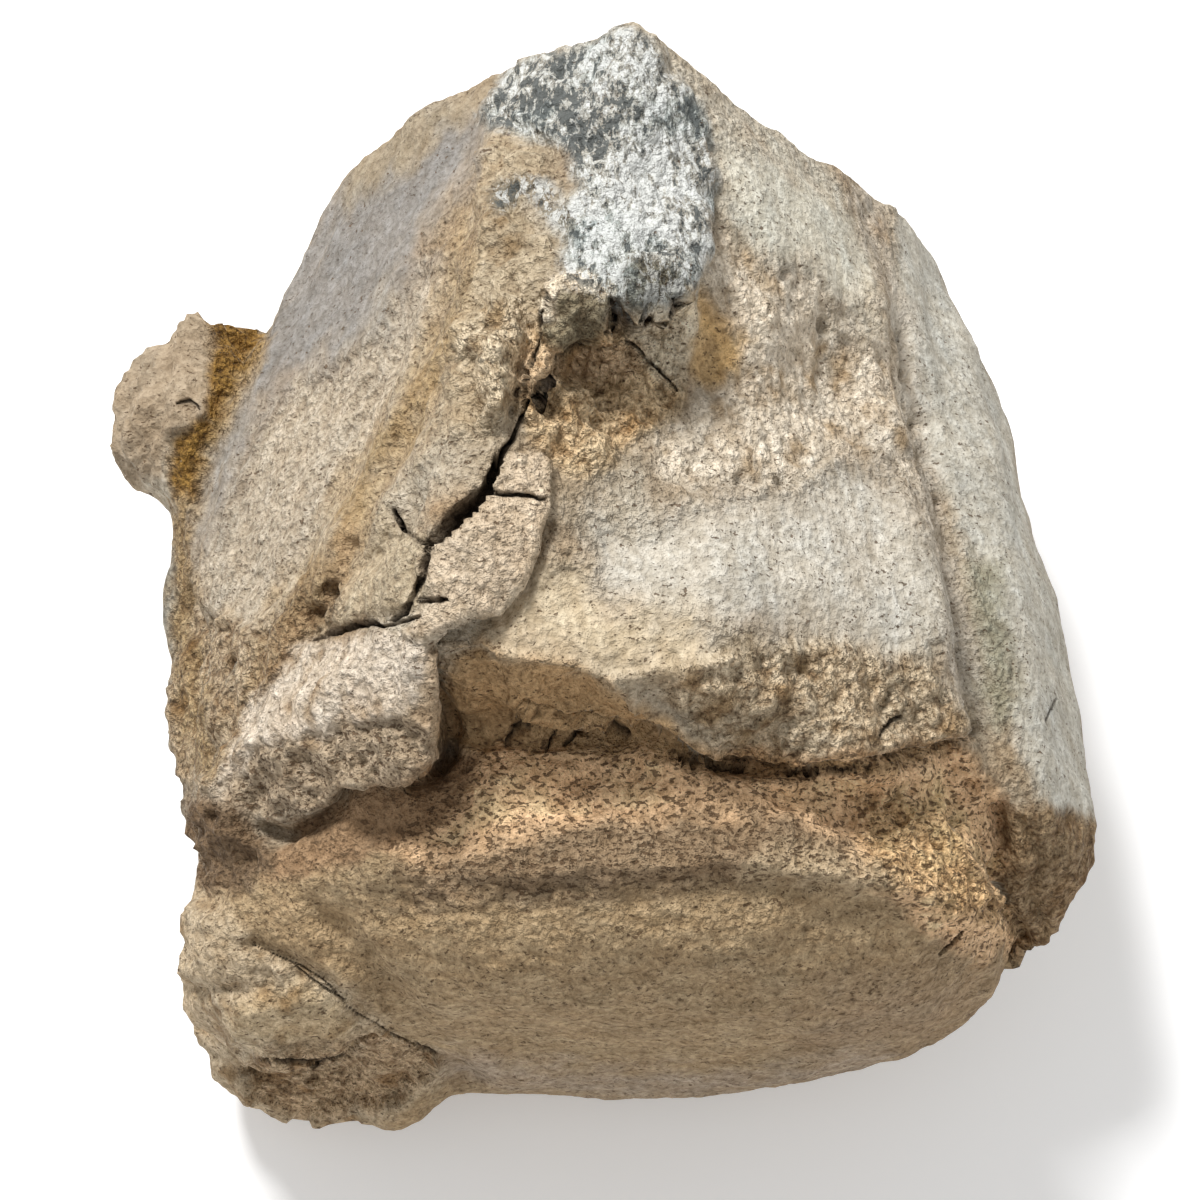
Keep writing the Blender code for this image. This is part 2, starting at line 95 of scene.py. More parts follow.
# Regions of the surface, as outlines in the picture
REGIONS = {
    "grey": [
        (478, 118), (505, 70), (545, 52), (600, 40), (625, 24), (655, 40), (668, 70), (694, 95), (708, 125),
        (714, 170), (714, 215), (706, 262), (692, 286), (680, 300), (640, 318), (600, 292), (568, 284),
        (560, 262), (570, 244), (560, 222), (566, 200), (582, 186), (570, 160), (545, 136), (500, 128),
    ],
    "fleck_dark": [
        (484, 112), (520, 72), (560, 66), (600, 90), (640, 60), (664, 80), (640, 110), (610, 118),
        (614, 152), (572, 164), (545, 142), (500, 132),
    ],
    "fleck_white": [(590, 150), (640, 130), (676, 160), (690, 230), (660, 262), (612, 258), (580, 220)],
    "slate": [
        (622, 268), (640, 256), (664, 262), (684, 284), (682, 300), (655, 310), (640, 318), (628, 312),
        (618, 300),
    ],
    "left_side": [
        (270, 300), (340, 160), (480, 90), (500, 150), (505, 230), (470, 430), (400, 520), (330, 640),
        (230, 790), (150, 760), (180, 500),
    ],
    "roof": [
        (700, 100), (850, 190), (905, 330), (960, 700), (720, 680), (480, 650), (545, 500), (650, 440),
        (720, 300),
    ],
    "side": [
        (850, 190), (950, 255), (1010, 400), (1070, 590), (1112, 820), (1000, 812), (960, 660), (910, 400),
    ],
    "end": [
        (260, 900), (440, 860), (640, 850), (860, 870), (1020, 940), (1000, 1000), (900, 1075), (740, 1095),
        (600, 1095), (440, 1060), (300, 960),
    ],
    "hollow": [
        (512, 350), (556, 312), (600, 322), (640, 332), (684, 310), (680, 380), (668, 418), (625, 442),
        (592, 476), (545, 458), (528, 440), (518, 400),
    ],
    # The hollow's orange, darkened as painted shade under the block and the slate
    "hollow_deep": [
        (520, 350), (548, 350), (600, 348), (626, 336), (640, 348), (636, 372), (600, 384), (560, 380),
        (530, 400), (518, 380),
    ],
    # The block is its own grey-brown, darkened with painted shade on its front face
    "block": [
        (546, 292), (562, 282), (600, 285), (612, 300), (608, 326), (596, 346), (562, 354), (544, 350),
        (538, 320),
    ],
    # The chip's own pale tan is lifted as painted light where the slate shades it
    "plate_chip": [
        (630, 336), (646, 318), (688, 300), (696, 330), (684, 372), (674, 386), (652, 372), (640, 352),
    ],
    "stain": [(700, 280), (722, 318), (740, 345), (730, 376), (702, 378), (696, 330)],
    "roof_rough": [
        (712, 215), (745, 240), (778, 275), (800, 262), (828, 290), (836, 335), (880, 345), (908, 365),
        (920, 440), (918, 485), (880, 462), (842, 452), (800, 482), (740, 486), (690, 490), (650, 470),
        (672, 410), (700, 385), (740, 376), (735, 330), (706, 270),
    ],
    "roof_white": [
        (600, 520), (640, 546), (690, 512), (760, 500), (800, 492), (850, 462), (908, 492), (932, 560),
        (936, 620), (900, 655), (820, 632), (740, 622), (660, 606), (600, 590),
    ],
    "roof_high": [
        (722, 150), (770, 150), (830, 190), (862, 240), (862, 292), (832, 292), (805, 258), (778, 262),
        (735, 225), (720, 190),
    ],
    "roof_cream": [
        (500, 610), (540, 560), (600, 590), (690, 612), (720, 650), (620, 676), (540, 656), (495, 650),
    ],
    "ledge_rough": [
        (682, 666), (760, 648), (850, 646), (925, 662), (962, 706), (966, 748), (880, 762), (760, 762),
        (700, 742), (672, 704),
    ],
    "ledge_face": [
        (450, 654), (480, 644), (500, 658), (560, 664), (606, 682), (636, 704), (668, 726), (700, 746),
        (742, 758), (843, 760), (911, 750), (948, 742), (952, 752), (905, 768), (843, 778), (742, 778),
        (690, 768), (640, 752), (560, 750), (490, 750), (442, 742), (444, 690),
    ],
    # The band's own orange is lifted as painted light where the ledge shades it
    "band": [
        (420, 800), (470, 744), (560, 742), (640, 742), (740, 752), (840, 752), (900, 748), (960, 738),
        (1006, 815), (1000, 885), (1024, 940), (985, 965), (920, 930), (860, 880), (760, 850), (640, 856),
        (520, 866), (430, 880), (380, 850),
    ],
    # Under the flange: the band's brown, darkened with painted shadow of the flange
    "band_smooth": [
        (268, 856), (330, 805), (440, 752), (480, 752), (470, 800), (400, 850), (330, 870), (262, 884),
    ],
    "band_grey": [
        (400, 868), (560, 826), (740, 808), (860, 836), (850, 872), (700, 884), (520, 900), (400, 905),
    ],
    # The gold band's own orange is lifted as painted light where the ledge shades it
    "band_gold": [(850, 800), (900, 790), (960, 830), (1000, 885), (1020, 930), (940, 905), (880, 885)],
    "plate_grey": [(850, 975), (990, 965), (1000, 1005), (940, 1050), (820, 1072), (790, 1040)],
    "lump": [
        (150, 900), (200, 880), (250, 945), (300, 962), (345, 985), (368, 1015), (400, 1036), (446, 1056),
        (438, 1084), (380, 1125), (280, 1135), (150, 1060),
    ],
    "lump_mid": [(236, 1000), (300, 984), (342, 1000), (350, 1030), (340, 1046), (270, 1048), (232, 1040)],
    "lump_low": [
        (262, 1054), (345, 1050), (372, 1038), (400, 1041), (437, 1058), (432, 1076), (400, 1102),
        (345, 1114), (300, 1122), (258, 1100), (244, 1070),
    ],
    "flange_top": [
        (212, 795), (245, 715), (300, 645), (325, 640), (380, 628), (424, 650), (430, 660), (414, 704),
        (390, 716), (340, 722), (290, 770), (232, 806),
    ],
    "flange_side": [(430, 655), (446, 652), (442, 752), (400, 776), (404, 720), (418, 700)],
    "flange_under": [
        (215, 800), (250, 748), (300, 738), (332, 722), (400, 716), (430, 735), (431, 757), (400, 783),
        (342, 786), (330, 803), (285, 824), (250, 812),
    ],
    "flange_end": [(182, 790), (236, 806), (262, 832), (275, 862), (240, 896), (200, 890), (178, 850)],
    "purple": [
        (262, 330), (285, 250), (338, 165), (400, 150), (470, 105), (492, 130), (452, 200), (415, 262),
        (360, 345), (300, 372), (262, 410), (236, 462), (216, 520), (196, 560), (188, 540), (205, 440),
        (236, 370),
    ],
    "high_tan": [
        (338, 165), (400, 128), (470, 88), (500, 70), (480, 112), (420, 150), (372, 190), (348, 210),
    ],
    "left_tan": [
        (300, 380), (360, 352), (420, 268), (480, 280), (450, 400), (380, 500), (330, 560), (250, 620),
        (200, 620), (196, 565), (222, 500), (244, 445), (270, 400),
    ],
    "left_low": [
        (160, 650), (190, 610), (250, 625), (320, 570), (345, 600), (300, 645), (250, 720), (212, 790),
        (160, 780),
    ],
    "crest_brown": [
        (486, 130), (540, 140), (556, 190), (512, 200), (520, 228), (556, 230), (562, 250), (545, 280),
        (556, 318), (512, 350), (520, 400), (480, 440), (440, 440), (455, 330), (480, 240), (478, 160),
    ],
    "crag": [
        (498, 300), (520, 302), (524, 340), (518, 372), (506, 400), (500, 426), (482, 428), (486, 400),
        (484, 362), (458, 356), (456, 330), (484, 324),
    ],
    "flake": [
        (502, 458), (540, 458), (549, 470), (546, 510), (540, 555), (524, 590), (502, 617), (470, 618),
        (445, 628), (424, 645), (400, 634), (424, 606), (424, 570), (438, 545), (470, 512), (488, 490),
    ],
    "small_plate": [
        (382, 512), (400, 520), (430, 546), (424, 570), (416, 604), (330, 625), (318, 634), (350, 580),
        (372, 545),
    ],
    "stub_yellow": [
        (206, 308), (272, 302), (262, 340), (240, 375), (226, 412), (205, 445), (196, 500), (172, 500),
        (170, 440), (204, 412), (212, 370), (205, 345),
    ],
    "stub_knob": [
        (100, 470), (100, 380), (150, 325), (206, 300), (212, 345), (206, 410), (170, 440), (165, 470),
        (140, 490),
    ],
    "strip": [(148, 500), (166, 520), (170, 580), (173, 640), (166, 690), (155, 690), (140, 600)],
    "flank": [
        (900, 205), (950, 255), (1010, 400), (1070, 590), (1110, 780), (1108, 818), (1040, 812),
        (1018, 730), (1004, 650), (985, 590), (962, 520), (925, 460), (908, 400), (890, 300),
    ],
    "broken_end": [
        (1000, 815), (1040, 808), (1106, 820), (1125, 880), (1080, 940), (1020, 985), (1020, 940),
        (1000, 900), (1000, 850),
    ],
}

# Lines in the picture, each with its half width in pixels
BANDS = {
    "brown_streak": (
        [(505, 215), (455, 320), (420, 400), (372, 470), (340, 545), (300, 610), (262, 700)], 20,
    ),
    "low_streak": ([(345, 548), (330, 590), (290, 640), (268, 690)], 14),
    "golden_band": (
        [(262, 330), (225, 405), (200, 455), (184, 510), (180, 570), (184, 640), (192, 700), (205, 760)], 13,
    ),
    "green_groove": ([(984, 570), (992, 640), (1004, 710)], 14),
    # The knee edge is a painted highlight along the ridge between roof and flank
    "knee_edge": ([(862, 200), (905, 330), (925, 470), (955, 600), (964, 700)], 9),
    # The block rim is a painted highlight along the block's top edge
    "block_rim": ([(545, 318), (548, 292), (562, 281), (590, 282), (610, 290)], 7),
    "grey_smear": ([(498, 200), (520, 186), (545, 190), (560, 214), (572, 232)], 9),
    "rim_pale": ([(760, 868), (820, 862), (880, 880)], 14),
    "plate_foot": ([(440, 1062), (520, 1078), (640, 1088), (760, 1084), (880, 1064)], 13),
}

# Pits in the picture: centre and radius in pixels, and depth in millimetres
PITS = [
    (692, 466, 8, 3.0), (742, 478, 7, 2.0), (783, 480, 7, 2.0), (806, 474, 6, 1.8), (828, 326, 10, 2.6),
    (787, 270, 7, 2.0), (735, 299, 7, 1.5), (772, 312, 4, 1.5), (706, 290, 5, 2.0), (748, 766, 8, 4.0),
    (955, 822, 7, 4.0), (976, 862, 8, 2.5), (948, 886, 9, 2.0), (970, 785, 10, 3.0), (348, 551, 15, 3.0),
    (334, 592, 14, 4.0), (316, 612, 12, 3.0), (200, 628, 16, 2.5), (228, 630, 9, 2.5), (195, 662, 12, 2.5),
    (385, 136, 11, 2.0), (190, 408, 9, 2.0), (172, 458, 8, 2.5), (284, 1092, 8, 2.5), (310, 1068, 6, 2.0),
    (385, 1042, 8, 2.5), (368, 948, 9, 1.5), (416, 1052, 7, 2.5), (310, 1084, 7, 2.0), (522, 726, 15, 3.0),
    (590, 734, 15, 3.0), (616, 738, 15, 3.0), (668, 736, 10, 1.6), (205, 830, 10, 2.5), (222, 812, 8, 2.5),
    (250, 812, 9, 2.5), (245, 858, 16, 3.0), (560, 76, 12, 1.6), (575, 128, 12, 1.8), (592, 146, 14, 2.0),
    (690, 140, 9, 1.4), (662, 738, 9, 3.0), (720, 762, 8, 3.0), (790, 768, 10, 3.0), (860, 768, 9, 3.0),
    (540, 190, 9, 1.6), (645, 178, 8, 1.3), (485, 405, 8, 2.0), (492, 425, 9, 2.0), (578, 364, 34, 8.0),
    (608, 388, 22, 3.5), (545, 404, 26, 4.0), (598, 418, 28, 3.0), (930, 455, 12, 2.5), (924, 420, 8, 2.5),
    (912, 370, 9, 2.5), (945, 500, 8, 2.0), (455, 640, 10, 4.0),
]

# Cracks in the picture, with lines of painted shadow cut in the same way: the line, the half width of the
# opening in millimetres along it and the depth; each is darkened inside as painted shade
CRACKS_AND_SHADOW_LINES = [
    ([(528, 372), (527, 394), (522, 416), (512, 440), (498, 458), (490, 478), (484, 490), (466, 505),
      (452, 520), (440, 533), (430, 541)],
     [0.5, 0.6, 0.5, 0.6, 0.7, 0.8, 0.9, 1.5, 1.6, 1.3, 0.5], 7.0),
    ([(395, 511), (404, 527), (418, 540), (430, 543)], [0.5, 0.5, 0.6, 0.7], 4.0),
    ([(430, 543), (424, 566), (416, 590), (404, 612), (392, 620)], [0.5, 0.6, 0.7, 0.7, 0.4], 3.0),
    ([(484, 486), (500, 492), (522, 496), (546, 498)], [0.5, 0.35, 0.4, 0.25], 4.0),
    ([(420, 601), (434, 599), (447, 599)], [0.6, 0.5, 0.3], 4.0),
    ([(314, 640), (332, 632), (350, 626), (372, 622), (384, 626)], [0.3, 0.7, 0.8, 0.6, 0.3], 5.0),
    ([(384, 626), (400, 622), (420, 616)], [0.3, 0.4, 0.3], 2.0),
    ([(627, 340), (640, 352), (656, 366), (676, 390)], [0.3, 0.25, 0.25, 0.15], 3.0),
    ([(250, 943), (282, 957), (302, 966), (330, 985), (346, 1005), (370, 1022), (400, 1037), (437, 1054)],
     [0.04, 0.1, 0.16, 0.1, 0.14, 0.1, 0.18, 0.3], 1.0),
    ([(295, 965), (315, 982), (345, 1000)], [0.15, 0.2, 0.15], 1.0),
    # These five are cavities under the ledge lip, cut in and darkened as painted shade
    ([(506, 744), (514, 728), (530, 716), (540, 712)], [0.3, 0.8, 0.9, 0.3], 2.5),
    ([(564, 745), (578, 730), (600, 722), (618, 724), (634, 740)], [0.3, 0.7, 0.9, 0.8, 0.3], 2.5),
    ([(545, 752), (550, 740), (556, 730)], [0.2, 0.4, 0.2], 1.5),
    ([(670, 752), (690, 760), (716, 766), (742, 769)], [0.3, 0.7, 0.6, 0.8], 2.5),
    ([(780, 770), (812, 772), (843, 771), (870, 768)], [0.3, 0.6, 0.6, 0.3], 2.0),
    # A painted shadow line under the lump's shelf
    ([(262, 1059), (290, 1062), (320, 1062), (346, 1056)], [0.15, 0.45, 0.35, 0.15], 1.5),
    # A painted shadow line under the slate
    ([(632, 315), (648, 319), (668, 313), (684, 305)], [0.3, 0.6, 0.6, 0.3], 3.0),
    # Two painted shadow lines along the block's sides
    ([(546, 294), (540, 320), (538, 345), (531, 366)], [0.15, 0.3, 0.4, 0.5], 2.0),
    ([(611, 298), (615, 316), (608, 334)], [0.3, 0.5, 0.3], 2.5),
    ([(940, 954), (952, 944), (962, 932)], [0.3, 0.4, 0.3], 2.0),
    ([(1046, 722), (1052, 708), (1058, 698)], [0.15, 0.2, 0.15], 1.0),
    ([(880, 734), (890, 722), (902, 716)], [0.3, 0.5, 0.3], 2.0),
    ([(178, 404), (190, 401), (200, 408)], [0.2, 0.4, 0.2], 1.5),
]

# Ridges and creases in the picture: the line, its half width in pixels and its height in millimetres
SEAMS = [
    ([(450, 652), (482, 640), (500, 654), (560, 661), (602, 676), (636, 698)], 6, 1.4),
    ([(615, 678), (645, 674), (690, 662), (730, 664)], 7, 0.9),
    ([(636, 698), (668, 720), (700, 740), (742, 751), (843, 753), (911, 743), (955, 726)], 7, 1.8),
    ([(640, 738), (690, 758), (742, 769), (800, 772), (870, 770), (911, 761), (950, 749),
      (975, 728)], 7, -4.0),
    ([(447, 652), (450, 690), (453, 730), (446, 756)], 7, -6.0),
    ([(432, 654), (450, 640), (476, 629), (504, 622), (522, 600), (538, 568), (550, 520)], 5, -2.6),
    ([(905, 335), (918, 405), (923, 440), (932, 470), (943, 500), (952, 545)], 8, -2.6),
    ([(868, 215), (896, 290), (914, 360)], 7, -1.2),
    ([(886, 205), (915, 300), (938, 420), (962, 540), (985, 640)], 7, 0.8),
    ([(984, 676), (1000, 706), (1014, 740)], 4, -1.2),
    ([(1000, 812), (1003, 850), (994, 880), (1006, 912), (1024, 945), (1012, 978)], 8, -4.5),
    ([(1022, 820), (1040, 860), (1030, 900), (1048, 930)], 5, -2.0),
    ([(252, 944), (282, 957), (302, 966), (330, 985), (346, 1005), (370, 1022), (400, 1037),
      (440, 1056)], 8, -2.0),
    ([(258, 1057), (300, 1058), (345, 1054), (368, 1042)], 5, -4.5),
    ([(258, 1046), (300, 1045), (343, 1041)], 6, 2.2),
    ([(166, 940), (198, 918), (236, 934)], 14, 1.5),
    ([(160, 978), (200, 992), (238, 986)], 8, -2.2),
    ([(158, 1012), (190, 1042), (232, 1070)], 8, -1.6),
    ([(255, 828), (285, 836), (334, 814), (346, 799), (400, 795), (437, 770), (448, 752)], 7, -5.5),
    ([(232, 806), (250, 810), (285, 820), (328, 800), (340, 783), (400, 779), (430, 752)], 5, 1.8),
    ([(520, 872), (640, 862), (740, 858), (860, 878), (940, 908), (1000, 930)], 9, 1.3),
    ([(508, 304), (507, 340), (500, 385), (491, 424)], 9, 2.8),
    ([(530, 325), (524, 372), (512, 410)], 5, -2.4),
    ([(476, 362), (474, 400), (478, 440)], 6, -1.8),
    ([(618, 316), (630, 326), (646, 318)], 6, -6.0),
    ([(596, 350), (610, 332), (616, 304)], 5, -3.5),
    ([(470, 150), (462, 240), (430, 330), (398, 430), (350, 520)], 9, -1.2),
    ([(498, 150), (488, 240), (470, 300)], 9, 1.0),
    ([(300, 380), (262, 425), (240, 480), (222, 540)], 4, 0.7),
    ([(272, 303), (246, 340), (222, 400), (206, 450), (198, 500)], 6, -2.0),
    ([(122, 376), (150, 348), (182, 326)], 8, 1.2),
    ([(130, 402), (124, 440), (134, 474)], 6, -1.8),
    ([(172, 330), (168, 380), (158, 430)], 6, -1.5),
    ([(508, 230), (470, 310), (446, 400), (420, 460), (392, 505)], 8, 1.2),
    ([(486, 250), (446, 330), (420, 400), (384, 470), (350, 545)], 6, -1.2),
    ([(694, 96), (712, 140), (718, 200), (714, 262)], 5, -1.6),
    ([(500, 118), (540, 136), (556, 165), (512, 196), (520, 226), (560, 232)], 5, -1.6),
    ([(236, 804), (262, 760), (320, 738), (334, 724), (400, 716), (420, 708)], 4, 0.8),
]

# How far each region stands proud of the old surface, in millimetres, and how sharp its edge is in pixels
STEPS = {
    "flake": (1.8, 2), "small_plate": (1.0, 3), "left_tan": (-0.9, 3), "roof_rough": (-1.4, 3),
    "hollow": (-1.0, 8), "block": (3.2, 2), "slate": (2.6, 3), "flange_top": (0.5, 4),
    "plate_chip": (0.8, 3), "crag": (1.6, 6), "ledge_face": (-3.6, 5), "golden_band": (-0.8, 6),
    "stub_yellow": (-1.4, 5), "stain": (-1.2, 6), "high_tan": (0.4, 4), "flange_under": (-1.6, 4),
    "grey": (0.7, 4), "band": (-0.6, 8), "lump_mid": (2.6, 14), "lump_low": (-3.2, 4),
}

# Regions worn in lines: the direction in the picture, and the height of the lines in millimetres
WORN_LINES = {
    "left_side": ((-243, 485), 0.45), "roof": ((12, 100), 0.22), "side": ((40, 100), 0.22),
    "end": ((100, 6), 0.25),
}

# Regions smooth enough for the coarser mesh
PLAIN = ("roof_white", "roof_high", "flank", "purple", "strip")

# How rough each region is: the height of its lumps, 9 to 15 mm across, and of its grains, 3 to 7 mm across
BARE_ROUGHNESS = (0.4, 0.32)
ROUGHNESS = {
    "grey": (0.9, 0.7), "hollow": (1.5, 1.2), "roof_rough": (0.6, 0.6), "roof_white": (0.15, 0.12),
    "roof_high": (0.15, 0.14), "roof_cream": (0.4, 0.25), "ledge_rough": (1.25, 0.9),
    "ledge_face": (1.0, 0.7), "band": (0.8, 0.8), "band_smooth": (0.5, 0.25), "band_grey": (0.8, 0.8),
    "band_gold": (1.4, 1.1), "lump": (1.1, 0.55), "flange_top": (0.7, 0.5), "flange_side": (0.4, 0.25),
    "flange_under": (1.3, 1.0), "flange_end": (1.4, 0.8), "purple": (0.2, 0.2), "high_tan": (0.35, 0.3),
    "left_tan": (0.4, 0.4), "left_low": (1.1, 0.6), "crest_brown": (1.3, 0.8), "crag": (1.6, 1.2),
    "flake": (0.45, 0.5), "small_plate": (0.4, 0.4), "stub_yellow": (1.0, 0.9), "stub_knob": (1.6, 0.6),
    "strip": (0.2, 0.12), "flank": (0.25, 0.18), "broken_end": (0.8, 0.35), "golden_band": (0.8, 0.45),
    "plate_chip": (0.3, 0.3), "block": (1.0, 0.8), "slate": (1.2, 1.1),
}

# Colours, linear
BARE = (0.36, 0.27, 0.17)
CORTEX = (0.52, 0.46, 0.36)
MATRIX = (0.33, 0.22, 0.12)
PLATE = (0.43, 0.31, 0.178)
COLOURS = {
    "left_tan": (0.50, 0.42, 0.315), "left_low": (0.57, 0.44, 0.29), "purple": (0.255, 0.235, 0.21),
    "high_tan": (0.31, 0.25, 0.17), "brown_streak": (0.39, 0.28, 0.15), "low_streak": (0.43, 0.295, 0.165),
    "crest_brown": (0.46, 0.37, 0.25), "crag": (0.80, 0.66, 0.46), "roof_cream": (0.61, 0.495, 0.335),
    "roof_rough": (0.74, 0.64, 0.50), "roof_white": (0.58, 0.535, 0.45), "roof_high": (0.61, 0.575, 0.475),
    # The knee edge colour on this line is a painted highlight along its ridge
    "flank": (0.52, 0.49, 0.415), "green_groove": (0.35, 0.325, 0.235), "knee_edge": (0.58, 0.51, 0.41),
    # The last colour on this line, under the flange, is brown darkened with painted shadow of the flange
    "ledge_rough": (0.70, 0.56, 0.38), "band": (0.96, 0.645, 0.375), "band_smooth": (0.33, 0.21, 0.115),
    # The band colour on the line above and the gold band here are their own orange, lifted as painted light
    # against the ledge's shade
    "band_grey": (0.32, 0.225, 0.135), "band_gold": (0.96, 0.65, 0.345), "rim_pale": (0.55, 0.42, 0.265),
    "plate_grey": (0.37, 0.265, 0.16), "plate_foot": (0.43, 0.335, 0.24), "lump": (0.56, 0.445, 0.30),
    "lump_mid": (0.60, 0.46, 0.285), "lump_low": (0.62, 0.45, 0.275), "flange_top": (0.66, 0.56, 0.44),
    "flange_side": (0.46, 0.34, 0.22), "ledge_face": (0.58, 0.385, 0.20),
    "flange_under": (0.44, 0.34, 0.23), "flange_end": (0.21, 0.14, 0.08),
    "small_plate": (0.48, 0.39, 0.265), "flake": (0.62, 0.50, 0.36), "golden_band": (0.45, 0.32, 0.17),
    "strip": (0.32, 0.30, 0.25), "stub_yellow": (0.32, 0.18, 0.045), "stub_knob": (0.37, 0.29, 0.20),
    # The last colour on this line is the hollow's orange darkened as painted shade under the block
    "broken_end": (0.46, 0.32, 0.18), "hollow": (0.88, 0.66, 0.40), "hollow_deep": (0.80, 0.59, 0.37),
    # The chip colour on this line is pale tan lifted as painted light against the slate's shade
    "stain": (0.78, 0.52, 0.24), "plate_chip": (0.90, 0.78, 0.58), "grey": (0.43, 0.42, 0.375),
    # The block colour is its grey-brown with painted shade on its front, and the block rim colour is a
    # painted highlight
    "grey_smear": (0.24, 0.215, 0.165), "block": (0.32, 0.265, 0.17), "block_rim": (0.90, 0.78, 0.60),
    "slate": (0.18, 0.165, 0.12),
}

# How wide the colour edges are, in pixels, where they are not the usual ones
USUAL_EDGE = 14
EDGES = {
    "roof_white": 60, "roof_high": 34, "roof_cream": 60, "roof_rough": 30, "purple": 44, "left_tan": 30,
    "high_tan": 24, "crest_brown": 22, "band_grey": 30, "band_gold": 30, "plate_grey": 60, "left_low": 30,
    "brown_streak": 34, "low_streak": 26, "green_groove": 22, "knee_edge": 18, "rim_pale": 26,
    "plate_foot": 24, "golden_band": 18, "lump": 20, "ledge_rough": 24, "stain": 24, "hollow": 16,
    "hollow_deep": 12, "block": 6, "block_rim": 5, "slate": 6, "grey_smear": 16,
}

# How strongly worn lines, stains and warm patches change each colour channel, and the grey patch's blue tinge
LINE_CONTRAST = (0.14, 0.17, 0.21)
STAIN_DEPTH = (0.38, 0.47, 0.58)
WARMTH = (0.03, 0.0, -0.035)
BLUISH = (0.30, 0.35, 0.345)

# Regions whose crumbs are stained brown
CRUMBLY = (
    "roof_rough", "ledge_rough", "crest_brown", "left_low", "lump", "flange_top", "broken_end", "hollow",
    "crag",
)

# The finer patterns of the material, and the regions that show each
PATTERNS = {
    "flecks": ("grey", "grey_smear"),
    "pores": ("band", "band_grey", "flange_end", "flange_under"),
    "rough": (
        "ledge_rough", "lump_low", "hollow_deep", "block", "slate", "hollow", "band_gold", "broken_end",
        "left_low", "crag", "stub_yellow", "golden_band",
    ),
    "smooth": ("roof_white", "roof_cream", "roof_high", "purple", "flank", "strip", "high_tan", "stub_knob"),
}

# How many grains of each pattern fit in a metre, and how many flakes over the range of the middle pattern
FINE_GRAIN = 900.0
MIDDLE_GRAIN = 350.0
CRUMB_GRAIN = 560.0
PORE_GRAIN = 1050.0
FLECK_GRAIN = 500.0
FLAKES = 12.0

# Factors that darken or lighten the colour, the colour of grime and painted shade between crumbs, of painted
# shade at flake feet and in pits, and the colours of specks, of painted shade in pores, of flecks and of
# painted shade in cracks
SHADE = (0.50, 0.45, 0.38, 1)
SHINE = (1.50, 1.53, 1.57, 1)
DIRT_AND_SHADE = (0.36, 0.28, 0.20, 1)
MARK_SHADE = (0.34, 0.27, 0.20, 1)
PATCH_DARK = (0.85, 0.83, 0.80, 1)
PATCH_LIGHT = (1.16, 1.17, 1.19, 1)
SPECK = (0.07, 0.045, 0.025, 1)
PORE_SHADE = (0.11, 0.062, 0.03, 1)
WHITE_FLECK = (0.76, 0.77, 0.74, 1)
DARK_FLECK = (0.07, 0.08, 0.08, 1)
CRACK_SHADE = (0.03, 0.018, 0.01, 1)

# The finish of the bone, which is dull
FINISH_ROUGHNESS = 0.85
FINISH_SPECULAR = 0.2


def wave(points, size, seed, octaves=2):
    """Smooth noise from about -1 to 1 at each point, with lumps of this size."""
    shift = Vector((seed * 7.3, seed * 3.1, seed * 5.7))
    return np.array([noise.fractal(Vector(p) / size + shift, 0.9, 2.1, octaves) for p in points])


def ridges(points, size, seed):
    """Sharp-crested noise from about -1 to 1."""
    shift = Vector((seed * 4.1, seed * 9.7, seed * 2.3))
    return np.array([1 - 2.6 * abs(noise.noise(Vector(p) / size + shift)) for p in points])


def crumbs(points, size, seed):
    """Rounded grains packed against each other, from about -0.5 between them to 1 on top."""
    shift = Vector((seed * 3.3, seed * 6.1, seed * 8.9))
    return np.array([1 - 1.7 * noise.voronoi(Vector(p) / size + shift)[0][0] for p in points])


def terraces(points, size, seed):
    """Broken steps from about -1.5 to 1.5, level on top with short steep sides."""
    height = 2.2 * wave(points, size, seed)
    whole = np.floor(height)
    part = np.clip((height - whole - 0.38) / 0.24, 0, 1)
    return whole + part * part * (3 - 2 * part) + 0.5


def to_picture(points):
    """Where points in millimetres fall in the picture."""
    away = points - EYE
    depth = -(away @ BACK)
    right, up = FOCAL_PIXELS * away[:, 0] / depth, FOCAL_PIXELS * (away @ UP) / depth
    return np.stack([PICTURE / 2 + right, PICTURE / 2 - up], axis=1)


def strokes(spots, direction, thick, long, seed):
    """Noise from about -1 to 1 drawn out along a direction in the picture."""
    x, y = np.array(direction) / np.hypot(*direction)
    across, along = spots @ (y, -x), spots @ (x, y)
    flat = np.stack([across / thick, along / long, np.full(len(spots), seed * 5.0)], axis=1)
    return np.array([noise.fractal(Vector(p), 0.8, 2.1, 2) for p in flat])


def line_distance(spots, line):
    """The distance to a line in the picture, and the nearest place along it, counted in its points."""
    best, place = np.full(len(spots), np.inf), np.zeros(len(spots))
    for i, (a, b) in enumerate(zip(line[:-1], line[1:])):
        a, b = np.array(a, float), np.array(b, float)
        share = np.clip((spots - a) @ (b - a) / ((b - a) @ (b - a)), 0, 1)
        distance = np.linalg.norm(spots - a - share[:, None] * (b - a), axis=1)
        place = np.where(distance < best, i + share, place)
        best = np.minimum(distance, best)
    return best, place


